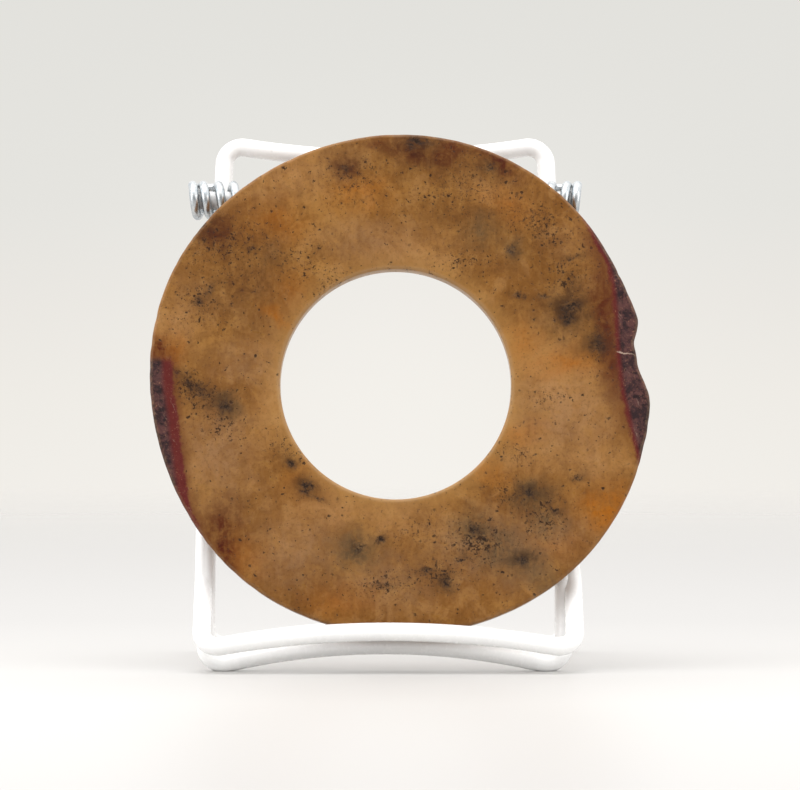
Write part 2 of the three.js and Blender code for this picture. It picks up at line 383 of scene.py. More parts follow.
AMBER = [
    (45.5, -27.5, 9, 6, -15, 0.95), (37.0, 4.5, 12, 4, 5, 0.6), (-28.5, 35.0, 9, 6, 0, 0.6),
    (18.5, -19.5, 8, 3, -20, 0.6), (-27.0, 15.0, 6, 1.3, -38, 0.9), (-20.0, -21.0, 6, 6, 0, 0.4),
    (-9.0, 42.0, 8, 5, 0, 0.4), (33.5, -36.0, 8, 4, 0, 0.25), (-13.0, -47.0, 9, 5, 0, 0.5),
    (26.0, -11.0, 7, 3, 20, 0.5), (-50.5, 7.0, 5, 5, 0, 0.9), (26.0, 9.0, 5, 6, 0, 0.5),
    (-24.0, 20.0, 5, 6, 0, 0.4), (24.0, 39.0, 8, 4, -30, 0.4), (-35.0, -38.0, 6, 6, 0, 0.5),
]
GREEN_GREY = [
    (-9.7, -36.4, 6.5, 5.5, 0, 0.95), (26.8, -39.2, 6, 4.5, -10, 0.95), (28.3, -24.4, 6, 4.5, -25, 0.8),
    (16.3, -32.3, 5.5, 5, 0, 0.75), (21.5, -36.5, 10, 6, -30, 0.6), (31.0, -43.0, 7, 3, -35, 0.5),
    (17.5, 33.8, 5, 4, 0, 0.45), (24.5, 29.2, 4, 3.5, 0, 0.4), (-38.2, -5.2, 4.5, 3, -20, 0.8),
    (31.8, -30.0, 5, 5, 0, 0.5), (-22.0, 9.0, 4, 2, 0, 0.2),
]
# Greyish milky parts
VEILED = [
    (24.0, -36.5, 12, 9, -20, 0.9), (15.0, -36.0, 11, 8, 0, 0.7), (33.0, -33.0, 9, 7, 0, 0.5),
    (-2.0, -43.0, 14, 7, 0, 0.55), (-22.0, -38.0, 12, 8, 20, 0.5), (-40.0, -14.0, 9, 12, 0, 0.5),
    (36.0, -8.0, 12, 10, 0, 0.35), (-8.0, 32.0, 12, 5, 0, 0.3), (-34.0, 4.0, 9, 6, 0, 0.4),
]
# Dark smoky halos
SMOKY = [
    (36.6, 15.6, 6.5, 6.0, 15, 1.0), (43.0, 8.8, 4.5, 4.0, 0, 0.8), (38.0, 20.5, 4.0, 3.5, 0, 0.5),
    (3.5, 52.8, 7.0, 3.4, 0, 0.6), (-38.5, -5.3, 4.5, 3.0, -20, 0.6), (-46.0, -0.5, 6.0, 2.6, -35, 0.45),
    (-20.3, -23.1, 3.0, 2.8, 0, 0.6), (-23.9, -17.8, 3.0, 2.2, 0, 0.5), (28.0, -24.5, 4.5, 2.6, 0, 0.45),
    (26.8, -38.8, 4.0, 2.6, 0, 0.5), (-41.0, 34.5, 5.0, 3.5, 30, 0.35), (9.9, -43.6, 2.6, 2.4, 0, 0.5),
    (-12.0, 47.6, 4.0, 3.0, 0, 0.35), (19.5, 46.5, 4.5, 3.0, -25, 0.4), (-28.0, 28.0, 5.0, 3.5, 0, 0.25),
]
RED = [
    (-37.8, -36.6, 3.4, 6.0, 12, 0.95), (-38.5, -32.0, 5.5, 7.0, 0, 0.6), (2.5, 52.6, 6.5, 3.6, 0, 0.95),
    (9.5, 51.8, 6.0, 3.2, 0, 0.7), (21.5, 48.4, 7.0, 2.6, -27, 0.75), (-52.6, 7.4, 3.4, 4.0, 0, 0.9),
    (44.6, 15.0, 3.0, 12.0, 8, 0.75), (-12.0, 47.7, 4.0, 3.0, 0, 0.4), (46.0, 4.0, 3.0, 7.0, 0, 0.5),
    (-40.0, 34.0, 5.0, 4.0, 30, 0.45), (-5.0, 53.5, 4.0, 2.0, 0, 0.5), (43.5, 22.0, 3.0, 6.0, 20, 0.4),
]
BLACK = [
    (36.6, 14.4, 2.2, 3.0, 20, 1.0), (37.6, 17.0, 3.2, 2.2, 20, 0.7), (43.6, 7.9, 2.8, 2.0, 0, 0.85),
    (43.2, 9.8, 1.4, 1.6, 0, 0.6), (9.9, -43.7, 1.9, 1.8, 0, 0.95), (-4.1, -34.3, 1.6, 1.3, 0, 0.9),
    (-20.3, -23.2, 2.3, 2.1, 10, 1.0), (-23.9, -17.9, 2.1, 1.2, -10, 0.95),
    (-38.2, -5.2, 2.4, 1.6, -20, 0.85),
    (-43.8, -2.6, 1.4, 1.0, 0, 0.7), (-49.3, 2.2, 1.4, 1.0, 0, 0.6), (26.9, -38.9, 2.6, 1.8, 0, 0.7),
    (28.2, -24.0, 2.6, 1.2, 0, 0.75), (33.6, -27.6, 1.5, 1.0, -20, 0.9),
    (38.6, -21.0, 2.2, 0.7, 25, 0.8),
    (15.8, -32.2, 1.8, 1.2, 0, 0.85), (3.9, 53.6, 4.0, 1.6, 0, 0.8), (20.0, 47.6, 2.0, 1.0, 0, 0.6),
    (-44.2, 17.8, 1.3, 1.2, 0, 0.8), (-32.8, 29.6, 1.4, 0.8, -10, 0.9), (-42.0, 20.2, 2.0, 0.8, 30, 0.7),
    (24.3, 29.2, 1.4, 1.4, 0, 0.6), (-9.0, -36.0, 2.6, 1.6, 0, 0.5), (6.2, -40.9, 2.4, 0.7, -10, 0.7),
    (-3.0, -44.2, 2.6, 0.7, 0, 0.7), (38.0, 27.6, 2.4, 0.8, 0, 0.6), (26.0, 19.2, 2.2, 1.2, 0, 0.6),
    (31.5, 19.0, 2.2, 0.8, 0, 0.4), (13.2, -38.6, 1.6, 0.7, 0, 0.8), (-18.0, -25.4, 2.2, 0.9, -30, 0.6),
    (-12.2, 47.8, 1.2, 1.0, 0, 0.6), (46.3, 3.4, 0.8, 0.7, 0, 0.6),
]
# Fields of fine black pits: (x, z, half width, half height, turn, density)
PITTED = [
    (16.5, -35.2, 10, 8, 0, 1.0), (31.5, -29.5, 8, 8, 0, 0.7), (7.5, -42.0, 11, 5, 0, 0.65),
    (-3.5, -44.5, 9, 4, 0, 0.75), (-45.5, -1.5, 11, 5, -32, 0.95), (-40.0, -9.0, 9, 5, -35, 0.6),
    (-38.0, 30.0, 14, 12, 0, 0.6), (-44.0, 17.0, 10, 8, 0, 0.6), (14.0, 43.0, 22, 10, 0, 0.5),
    (31.0, 35.0, 14, 8, -30, 0.65), (13.5, 26.5, 10, 5, 0, 0.6), (37.0, 24.0, 8, 7, 0, 0.6),
    (-10.0, 45.0, 12, 8, 0, 0.55), (-15.5, 22.5, 7, 6, 40, 0.6), (-24.0, -15.5, 9, 4, -40, 0.6),
    (44.0, 9.0, 5, 10, 0, 0.6), (32.5, -3.5, 7, 3, 0, 0.5), (26.0, -15.0, 6, 4, 0, 0.5),
    (24.0, -24.0, 9, 5, 0, 0.6), (-22.0, 27.0, 8, 8, 0, 0.5), (4.0, -33.0, 8, 5, 0, 0.4),
]
# Inner borders of the dark skin on each side, as (height, x)
SKIN_RIGHT = [
    (-21.5, 52.6), (-17.0, 51.6), (-12.0, 50.3), (-7.0, 49.2), (-1.5, 48.0), (5.5, 47.2),
    (10.0, 46.9), (17.3, 46.5), (24.6, 45.4), (31.2, 42.4), (35.0, 40.6), (40.0, 38.0),
]
SKIN_LEFT = [
    (-36.0, -41.6), (-31.0, -43.8), (-26.5, -45.6), (-22.2, -46.3), (-16.2, -47.2),
    (-11.2, -47.9), (-5.3, -48.6), (-0.2, -49.4), (4.6, -49.6), (9.0, -50.5),
]
# A pale crack in the right skin: x, z, half width, half height, turn in degrees, depth
SKIN_CRACK = (49.2, 6.4, 3.6, 0.24, -8.0, 9)
# What the soft stains do to the ground: spots, colour, power, gain, depth in mm
GROUND_STAINS = [
    (PALE, (0.42, 0.222, 0.088), 0.7, 0.78, 14),
    (AMBER, (0.36, 0.120, 0.010), 0.7, 1.1, 14),
    (VEILED, (0.300, 0.175, 0.095), 0.6, 0.72, 14),
    (BROWN, (0.100, 0.038, 0.011), 0.7, 0.92, 12),
    (RED, (0.075, 0.010, 0.003), 0.65, 1.30, 12),
    (GREEN_GREY, (0.088, 0.060, 0.032), 0.65, 1.05, 10),
]
STAIN_SPREAD = 1.35
PIT_FIELD_SPREAD, PIT_FIELD_DEPTH = 1.3, 11
# Layers of round pits: cells per mm, largest size, shift
PIT_LAYERS = [(0.95, 0.30, 0.0), (1.9, 0.34, 31.0), (0.5, 0.17, 77.0)]
# Layers of ragged flecks: scale, roughness, level, gain in the fields, colour, amount
FLECK_LAYERS = [
    (0.62, 0.72, 0.650, 0.135, (0.052, 0.022, 0.008), 0.85),
    (1.30, 0.80, 0.655, 0.150, (0.018, 0.009, 0.005), 0.95),
]
# Linear colours of the stone
HONEY_DEEP, HONEY_LIGHT = (0.215, 0.090, 0.019), (0.315, 0.150, 0.038)
DRIFT_DARK, DRIFT_PALE = (0.165, 0.066, 0.012), (0.37, 0.195, 0.070)
MOTTLE_DARK, MOTTLE_PALE = (0.145, 0.056, 0.012), (0.42, 0.220, 0.065)
STREAK_DARK, GRAIN_DARK = (0.130, 0.052, 0.014), (0.090, 0.036, 0.011)
GRAIN_PALE = (0.40, 0.215, 0.070)
# Of the next three colours, the first is the stone's paler band round the hole; the second and third are
# painted glow, light shining through the thin rim of the hole and through the rounded edges.
HOLE_BAND, HOLE_RIM_GLOW, EDGE_GLOW = (0.45, 0.25, 0.085), (0.48, 0.32, 0.16), (0.40, 0.26, 0.15)
PIT_COLOUR = (0.026, 0.013, 0.006)
SMOKE_COLOUR, SPOT_HALO, SPOT_CORE = (0.034, 0.016, 0.008), (0.070, 0.032, 0.012), (0.024, 0.012, 0.006)
SKIN_HALO, SKIN_CRIMSON = (0.105, 0.028, 0.012), (0.125, 0.014, 0.011)
PLUM_DARK, PLUM_LIGHT, PLUM_BLACK = (0.030, 0.015, 0.018), (0.105, 0.044, 0.042), (0.014, 0.008, 0.010)
SKIN_FLECK, SKIN_SCRATCH, CRACK_COLOUR = (0.38, 0.190, 0.105), (0.36, 0.25, 0.20), (0.42, 0.31, 0.25)
WHOLE_TONE = (0.885, 0.86, 0.82)


class Stone(Surface):
    """The jade, built up from its ground to the painted glow on its rounded edges."""

    def __init__(self):
        super().__init__("jade")
        self.at = self.coordinates_mm()
        half = (0.5, 0.5, 0.5)
        wobble = self.vector("SUBTRACT", self.noise(self.at, 0.16, 5, 0.6, colour=True), half)
        fine = self.vector("SUBTRACT", self.noise(self.at, 0.9, 4, 0.6, colour=True), half)
        self.soft_at = self.vector("ADD", self.at, self.vector("SCALE", wobble, 7.0))
        crisp = self.vector("ADD", self.at, self.vector("SCALE", wobble, 1.6))
        self.crisp_at = self.vector("ADD", crisp, self.vector("SCALE", fine, 1.3))
        self.ragged_at = self.vector("ADD", self.crisp_at, self.vector("SCALE", fine, 2.2))
        split = self.new("ShaderNodeSeparateXYZ")
        self.link(self.at, split.inputs[0])
        self.x, self.z = split.outputs[0], split.outputs[2]
        self.patchy = self.ramp(self.noise(self.at, 0.38, 6, 0.62, 0.5), 0.38, 0.60, 0.60, 1.15)
        self.ragged = self.ramp(self.noise(self.at, 1.1, 5, 0.75, 0.3), 0.42, 0.56, 0.10, 1.30)
        self.mottle = self.noise(self.at, 0.22, 7, 0.66, 0.8)
        self.grain = self.noise(self.at, 1.3, 5, 0.7)

    def shifted(self, at, x, y, z):
        return self.vector("ADD", at, (x, y, z))

    def spots(self, places, at, spread, depth):
        """The strongest of many soft spots at each point."""
        total = None
        for x, z, rx, rz, turn, strength in places:
            spot = self.blob(at, x, z, rx * spread, rz * spread, turn, depth)
            spot = self.math("MULTIPLY", spot, strength)
            total = spot if total is None else self.math("MAXIMUM", total, spot)
        return total

    def stain_amount(self, places, at, power, gain, depth, spread, broken):
        amount = self.math("POWER", self.spots(places, at, spread, depth), power)
        amount = self.math("MULTIPLY", amount, gain)
        return self.math("MULTIPLY", amount, broken, clamp=True)

    def clouded_ground(self):
        cloud = self.noise(self.at, 0.045, 6, 0.58, 0.6)
        drift = self.noise(self.shifted(self.at, 50.0, 0.0, 20.0), 0.12, 4, 0.55, 1.2)
        colour = self.mix(self.ramp(cloud, 0.36, 0.64), HONEY_DEEP, HONEY_LIGHT)
        colour = self.mix(self.ramp(drift, 0.50, 0.62, 0.0, 0.50), colour, DRIFT_DARK)
        colour = self.mix(self.ramp(drift, 0.48, 0.38, 0.0, 0.40), colour, DRIFT_PALE)
        colour = self.mix(self.ramp(self.mottle, 0.49, 0.62, 0.0, 0.42), colour, MOTTLE_DARK)
        colour = self.mix(self.ramp(self.mottle, 0.47, 0.34, 0.0, 0.26), colour, MOTTLE_PALE)
        for places, tint, power, gain, depth in GROUND_STAINS:
            amount = self.stain_amount(
                places, self.soft_at, power, gain, depth, STAIN_SPREAD, self.patchy)
            colour = self.mix(amount, colour, tint)
        return colour

    def grained(self, colour, field):
        """Fine streaks and grain, stronger where the stone is pitted."""
        busy = self.math("MULTIPLY_ADD", field, 0.75, 0.35, clamp=True)
        streak_at = self.stretched(self.at, 12.0, (1.0, 0.6, 0.22))
        streaks = self.noise(streak_at, 0.75, 5, 0.65, 0.4)
        dark = self.math("MULTIPLY", self.ramp(streaks, 0.51, 0.62, 0.0, 0.26), busy)
        colour = self.mix(dark, colour, STREAK_DARK)
        colour = self.mix(self.ramp(streaks, 0.48, 0.38, 0.0, 0.10), colour, GRAIN_PALE)
        dark = self.math("MULTIPLY", self.ramp(self.grain, 0.52, 0.62, 0.0, 0.62), busy)
        colour = self.mix(dark, colour, GRAIN_DARK)
        return self.mix(self.ramp(self.grain, 0.47, 0.37, 0.0, 0.08), colour, GRAIN_PALE)

    def paler_at_hole(self, colour):
        flat = self.new("ShaderNodeCombineXYZ")
        self.link(self.math("SUBTRACT", self.x, HOLE_SHIFT.x), flat.inputs[0])
        self.link(self.math("SUBTRACT", self.z, HOLE_SHIFT.y), flat.inputs[2])
        length = self.new("ShaderNodeVectorMath", operation="LENGTH")
        self.link(flat.outputs[0], length.inputs[0])
        away = length.outputs["Value"]
        band = self.ramp(away, HOLE_RADIUS + 6.0, HOLE_RADIUS, 0.0, 0.32)
        colour = self.mix(band, colour, HOLE_BAND)
        # Painted glow: a thin lighter rim at the hole's edge, standing in for light shining through the
        # thin stone.
        edge = self.ramp(away, HOLE_RADIUS + 1.3, HOLE_RADIUS, 0.0, 0.35)
        return self.mix(edge, colour, HOLE_RIM_GLOW)

    def pitted(self, colour, field):
        """Round pits and ragged flecks, most in the fields. Also gives their mask."""
        pits = None
        for scale, size, shift in PIT_LAYERS:
            moved = self.shifted(self.crisp_at, shift, shift * 0.7, shift * 0.4)
            distance, cell = self.dots(moved, scale)
            chance = self.new("ShaderNodeSeparateColor")
            self.link(cell, chance.inputs[0])
            kept = self.math("LESS_THAN", chance.outputs[0], field)
            width = self.math("MULTIPLY", chance.outputs[1], size)
            spot = self.ramp(self.math("SUBTRACT", distance, width), 0.09, -0.02)
            spot = self.math("MULTIPLY", spot, kept)
            pits = spot if pits is None else self.math("MAXIMUM", pits, spot)
        uneven = self.ramp(self.noise(self.at, 0.6, 3), 0.36, 0.60, 0.45, 1.0)
        pits = self.math("MULTIPLY", pits, uneven)
        for scale, rough, base, gain, tint, strength in FLECK_LAYERS:
            level = self.math("MULTIPLY_ADD", field, -gain, base)
            flecks = self.noise(self.shifted(self.at, scale * 40, 3.0, 11.0), scale, 5, rough, 0.3)
            amount = self.ramp(self.math("SUBTRACT", flecks, level), 0.0, 0.035)
            amount = self.math("MULTIPLY", amount, strength)
            colour = self.mix(amount, colour, tint)
            pits = self.math("MAXIMUM", pits, self.math("MULTIPLY", amount, 0.7))
        return self.mix(self.math("MULTIPLY", pits, 0.9), colour, PIT_COLOUR), pits

    def spotted(self, colour):
        """Smoky patches and black spots. Also gives the mask of the spots' cores."""
        smoke = self.stain_amount(SMOKY, self.soft_at, 0.8, 1.0, 9, STAIN_SPREAD, self.patchy)
        halo = self.stain_amount(BLACK, self.soft_at, 0.7, 0.75, 8, 2.0, self.patchy)
        core = self.stain_amount(BLACK, self.ragged_at, 0.8, 1.6, 5, 1.0, self.ragged)
        colour = self.mix(smoke, colour, SMOKE_COLOUR)
        colour = self.mix(halo, colour, SPOT_HALO)
        return self.mix(core, colour, SPOT_CORE), core

    def plum(self, past_right, past_left):
        """The skin's own colours: dark plum, crimson inside, with flecks and scratches."""
        patches = self.noise(self.at, 0.34, 7, 0.7, 0.5)
        colour = self.mix(self.ramp(patches, 0.40, 0.60), PLUM_DARK, PLUM_LIGHT)
        dark = self.ramp(self.noise(self.shifted(self.at, 2.0, 4.0, 1.0), 0.8, 5, 0.75), 0.52, 0.60)
        colour = self.mix(self.math("MULTIPLY", dark, 0.75), colour, PLUM_BLACK)
        inside = self.math("MINIMUM", self.ramp(past_right, 1.7, 0.5), self.ramp(past_left, 3.2, 1.6))
        colour = self.mix(self.math("MULTIPLY", inside, 0.85), colour, SKIN_CRIMSON)
        fleck = self.noise(self.shifted(self.at, 9.0, 0.0, 5.0), 1.7, 5, 0.8, 0.4)
        fleck = self.ramp(fleck, 0.58, 0.66)
        fleck = self.math("MULTIPLY", fleck, self.ramp(patches, 0.42, 0.58, 0.25, 0.85))
        colour = self.mix(fleck, colour, SKIN_FLECK)
        scratch_at = self.stretched(self.crisp_at, 62.0, (5.5, 1.0, 0.35), "TEXTURE")
        scratch = self.ramp(self.noise(scratch_at, 0.9, 3, 0.6), 0.64, 0.74)
        colour = self.mix(self.math("MULTIPLY", scratch, 0.40), colour, SKIN_SCRATCH)
        crack = self.math("MULTIPLY", self.blob(self.crisp_at, *SKIN_CRACK), 2.4, clamp=True)
        return self.mix(crack, colour, CRACK_COLOUR)

    def skinned(self, colour):
        """The dark skin on both sides and its halo. Also gives the skin's mask."""
        z = self.z
        wave = self.math("SUBTRACT", self.noise(self.at, 0.9, 6, 0.65), 0.5)
        wave = self.math("MULTIPLY", wave, 2.0)
        border_right = self.curve(z, SKIN_RIGHT[0][0], SKIN_RIGHT[-1][0], SKIN_RIGHT)
        border_left = self.curve(z, SKIN_LEFT[0][0], SKIN_LEFT[-1][0], SKIN_LEFT)
        past_right = self.math("SUBTRACT", self.x, border_right)
        past_left = self.math("SUBTRACT", border_left, self.x)
        right = self.ramp(self.math("ADD", past_right, wave), -0.35, 0.75)
        right = self.math("MULTIPLY", right, self.ramp(z, -22.0, -19.0))
        right = self.math("MULTIPLY", right, self.ramp(z, 40.5, 36.0))
        left = self.ramp(self.math("ADD", past_left, wave), -0.3, 0.6)
        left = self.math("MULTIPLY", left, self.ramp(z, 6.2, 4.2))
        left = self.math("MULTIPLY", left, self.ramp(z, -36.0, -32.5))
        skin = self.math("MAXIMUM", left, right)
        halo_right = self.math("MULTIPLY", self.ramp(past_right, -4.5, 0.4), self.ramp(z, -19.0, -2.0))
        halo_left = self.math("MULTIPLY", self.ramp(past_left, -2.2, 0.4), self.ramp(z, 9.0, 3.0))
        halo = self.math("MAXIMUM", halo_right, halo_left)
        halo = self.math("MULTIPLY", halo, self.ramp(z, 38.0, 30.0, 0.0, 0.55))
        colour = self.mix(halo, colour, SKIN_HALO)
        return self.mix(skin, colour, self.plum(past_right, past_left)), skin


def jade_material():
    n = Stone()
    field = n.spots(PITTED, n.soft_at, PIT_FIELD_SPREAD, PIT_FIELD_DEPTH)
    field = n.math("ADD", field, 0.10)
    colour = n.grained(n.clouded_ground(), field)
    colour = n.paler_at_hole(colour)
    colour, pits = n.pitted(colour, field)
    colour, core = n.spotted(colour)
    colour, skin = n.skinned(colour)
    # Painted glow: the rounded edges are lightened, standing in for light shining through the thin stone
    # there.
    edge = n.new("ShaderNodeAttribute", attribute_name="edge", attribute_type="GEOMETRY")
    worn = n.math("MULTIPLY", edge.outputs["Fac"], n.ramp(n.grain, 0.35, 0.65, 0.02, 0.28))
    colour = n.mix(worn, colour, EDGE_GLOW)
    colour = n.mix(1.0, colour, WHOLE_TONE, "MULTIPLY")
    n.link(colour, n.shader.inputs["Base Color"])

    holes = n.math("MAXIMUM", pits, core)
    rough = n.ramp(n.mottle, 0.3, 0.7, 0.27, 0.38)
    rough = n.math("ADD", rough, n.math("MULTIPLY", holes, 0.10))
    rough = n.math("ADD", rough, n.math("MULTIPLY", skin, 0.14))
    n.link(rough, n.shader.inputs["Roughness"])
    n.set(IOR=1.5, Specular_IOR_Level=0.13, Subsurface_Weight=0.08,
          Subsurface_Radius=(1.0, 0.5, 0.18), Subsurface_Scale=0.0016)

    normal = n.bump(n.math("MULTIPLY", holes, -1.0), 0.55, 0.00022)
    normal = n.bump(n.noise(n.at, 0.35, 3, 0.5), 0.25, 0.0005, normal)
    weathered = n.math("MULTIPLY", n.noise(n.at, 2.6, 4, 0.7), n.math("ADD", skin, 0.16))
    n.link(n.bump(weathered, 0.5, 0.00025, normal), n.shader.inputs["Normal"])
    return n.material


def coat_material():
    n = Surface("coated_wire")
    at = n.coordinates_mm()
    smear = n.noise(at, 0.09, 5, 0.6)
    grime = n.noise(at, 0.8, 6, 0.7)
    colour = n.mix(n.ramp(smear, 0.35, 0.65), (0.90, 0.90, 0.90), (0.935, 0.935, 0.93))
    colour = n.mix(n.ramp(grime, 0.62, 0.82, 0.0, 0.20), colour, (0.80, 0.785, 0.76))
    distance, _ = n.dots(at, 0.22)
    speck = n.ramp(distance, 0.10, 0.04, 0.0, 0.30)
    colour = n.mix(speck, colour, (0.62, 0.60, 0.57))
    n.link(colour, n.shader.inputs["Base Color"])
    n.link(n.ramp(grime, 0.3, 0.8, 0.20, 0.34), n.shader.inputs["Roughness"])
    n.set(IOR=1.48, Coat_Weight=0.35, Coat_Roughness=0.12)
    normal = n.bump(n.noise(at, 0.35, 2, 0.5), 0.16, 0.0002)
    normal = n.bump(n.noise(at, 2.2, 2, 0.5), 0.05, 0.00008, normal)
    n.link(normal, n.shader.inputs["Normal"])
    return n.material


def steel_material(name, colour_low, colour_high, rough_low, rough_high):
    n = Surface(name)
    at = n.coordinates_mm()
    drawn = n.noise(n.stretched(at, 0.0, (6.0, 0.7, 0.7)), 1.0, 4, 0.6)
    stain = n.noise(at, 0.8, 5, 0.65)
    colour = n.mix(n.ramp(stain, 0.35, 0.7), colour_high, colour_low)
    n.link(colour, n.shader.inputs["Base Color"])
    n.link(n.ramp(drawn, 0.3, 0.7, rough_low, rough_high), n.shader.inputs["Roughness"])
    n.set(Metallic=1.0)
    n.link(n.bump(drawn, 0.15, 0.00005), n.shader.inputs["Normal"])
    return n.material


# ---------------------------------------------------------------- pieces
def outline_radius(degrees):
    """The ring's outer radius, with its slow waves, worn hollow and chip."""
    def wave(size, times, peak):
        return size * math.cos(math.radians(times * (degrees - peak)))

    cut = wave(0.43, 2, -50.8) + wave(0.27, 4, -30.5) + wave(0.14, 5, 14.7)
    fuller = 0.5 * math.exp(-(((degrees + 90) / 13) ** 2))
    worn = 0.8 * math.exp(-(((degrees - 25) / 15) ** 2))
    chip = 2.4 * smooth(-5, 5, degrees) * (1 - smooth(8.5, 15.5, degrees))
    return DISC_RADIUS + cut + fuller - worn - chip


def rim_nicks():
    """Small uneven losses along the rim, deeper where the skin is weathered."""
    rng = random.Random(12)
    nicks = [0.0] * DISC_STEPS
    for _ in range(150):
        where = rng.uniform(0, 360)
        weathered = min(abs(where - 195), 40) < 40 or where < 32 or where > 340
        depth = rng.uniform(0.03, 0.16 if weathered else 0.07)
        width = rng.uniform(0.5, 1.8)
        for k in range(-8, 9):
            i = int(where * DISC_STEPS / 360) + k
            nicks[i % DISC_STEPS] += depth * math.exp(-((k * 360 / DISC_STEPS / width) ** 2))
    return nicks


def make_disc(material):
    """A ring swept round its centre, its section rounded at the four edges.

    A point of the section is (kind, distance or share, depth, edge weight); the edge weight deepens the
    rim nicks and places the painted glow on the rounded edges.
    """
    arc = 5
    r = EDGE_ROUND

    def rounded(kind, i):
        angle = (math.pi / 2) * i / arc
        depth = -DISC_HALF + r * (1 - math.sin(angle))
        return kind, r * (1 - math.cos(angle)), depth, math.sin(2 * angle)

    section = [rounded("in", i) for i in range(arc + 1)]
    section += [("mid", share, -DISC_HALF, 0.0) for share in FACE_RINGS]
    section += [rounded("out", arc - i) for i in range(arc + 1)]
    back = [(kind, value, -depth, edge) for kind, value, depth, edge in reversed(section)]
    section += back
    nicks = rim_nicks()
    verts, edges, faces = [], [], []
    for k in range(DISC_STEPS):
        degrees = 360.0 * k / DISC_STEPS
        signed = degrees - 360 if degrees > 180 else degrees
        angle = math.radians(degrees)
        u = Vector((math.cos(angle), math.sin(angle)))
        along = HOLE_SHIFT.dot(u)
        inner = along + math.sqrt(HOLE_RADIUS ** 2 - HOLE_SHIFT.length_squared + along ** 2)
        outer = outline_radius(signed)
        for kind, value, depth, edge in section:
            if kind == "in":
                radius = inner + value
            elif kind == "out":
                radius = outer - value - nicks[k] * (0.5 + 0.5 * edge)
            else:
                radius = inner + EDGE_ROUND + (outer - inner - 2 * EDGE_ROUND) * value
            verts.append((radius * u.x * MM, depth * MM, radius * u.y * MM))
            edges.append(edge if kind != "mid" else 0.0)
    m = len(section)
    for k in range(DISC_STEPS):
        a, b = k * m, ((k + 1) % DISC_STEPS) * m
        for j in range(m):
            faces.append((a + j, a + (j + 1) % m, b + (j + 1) % m, b + j))
    mesh = bpy.data.meshes.new("jade_ring")
    mesh.from_pydata(verts, [], faces)
    mesh.update()
    attribute = mesh.attributes.new("edge", "FLOAT", "POINT")
    attribute.data.foreach_set("value", edges)
    for poly in mesh.polygons:
        poly.use_smooth = True
    mesh.materials.append(material)
    disc = bpy.data.objects.new("jade_ring", mesh)
    bpy.context.scene.collection.objects.link(disc)
    disc.location = place(DISC_CENTRE)
    disc.rotation_euler = (-DISC_LEAN, 0.0, 0.0)
    return disc


def on_frame(x, z):
    return Vector((x, FOOT_Y + SLOPE * (z - WIRE), z))


def frame_half(z):
    return FOOT_HALF + max((z - TAPER_Z) / (TOP_Z - TAPER_Z), 0) * (TOP_HALF - FOOT_HALF)


def make_front_frame(materials):
    corner = lambda x, z: (on_frame(x, z), CORNER, 14)
    taper = lambda x: (on_frame(x, TAPER_Z), 60, 6)
    loop = bent([
        *bowed(FOOT_HALF, FOOT_BOW, lambda x, up: on_frame(x, FOOT_CORNER_Z + up)),
        corner(-FOOT_HALF, FOOT_CORNER_Z), taper(-FOOT_HALF), corner(-TOP_HALF, TOP_Z),
        *bowed(TOP_HALF, ARCH_BOW, lambda x, down: on_frame(-x, TOP_Z - down)),
        corner(TOP_HALF, TOP_Z), taper(FOOT_HALF), corner(FOOT_HALF, FOOT_CORNER_Z),
    ], closed=True)
    bar = lambda x, up: Vector((LIP_CENTRE_X + x, LIP_Y, LIP_CORNER_Z + up))

    def side(sign):
        x = LIP_CENTRE_X + sign * LIP_HALF
        return [
            (bar(sign * LIP_HALF, 0), CORNER, 14),
            (on_frame(x, LIP_MEETS_Z), 7, 10),
            (on_frame(sign * (frame_half(LIP_END_Z) + 0.7), LIP_END_Z), 0, 0),
        ]

    lip = bent([*reversed(side(1)), *bowed(LIP_HALF, LIP_BOW, bar), *side(-1)])
    return make_piece("front_frame_wire", [
        sweep_wire(loop, WIRE, WIRE_SIDES, closed=True),
        sweep_wire(lip, WIRE, WIRE_SIDES, end_round=0.6),
    ], materials, floor=True)


def on_leg(x, z):
    return Vector((x, HINGE_Y + LEG_SLOPE * (HINGE_Z - z), z))


def make_rear_leg(materials):
    def side(sign):
        return [
            (on_leg(sign * STUB_END, HINGE_Z), 0, 0),
            (on_leg(sign * LEG_TOP_HALF, HINGE_Z), 3, 14),
            (on_leg(sign * LEG_STRAIGHT_HALF, LEG_NARROW_TOP_Z), 40, 6),
            (on_leg(sign * LEG_STRAIGHT_HALF, LEG_NARROW_END_Z), 16, 8),
            (on_leg(sign * LEG_WIDE_HALF, LEG_WIDE_Z), 16, 8),
            (on_leg(sign * LEG_FOOT_HALF, LEG_CORNER_Z), CORNER, 14),
        ]

    foot = bowed(LEG_FOOT_HALF, LEG_BOW, lambda x, up: on_leg(x, LEG_CORNER_Z + up))
    points = bent([*side(1), *foot, *reversed(side(-1))])
    return make_piece("rear_leg_wire", [sweep_wire(points, WIRE, WIRE_SIDES)], materials, floor=True)


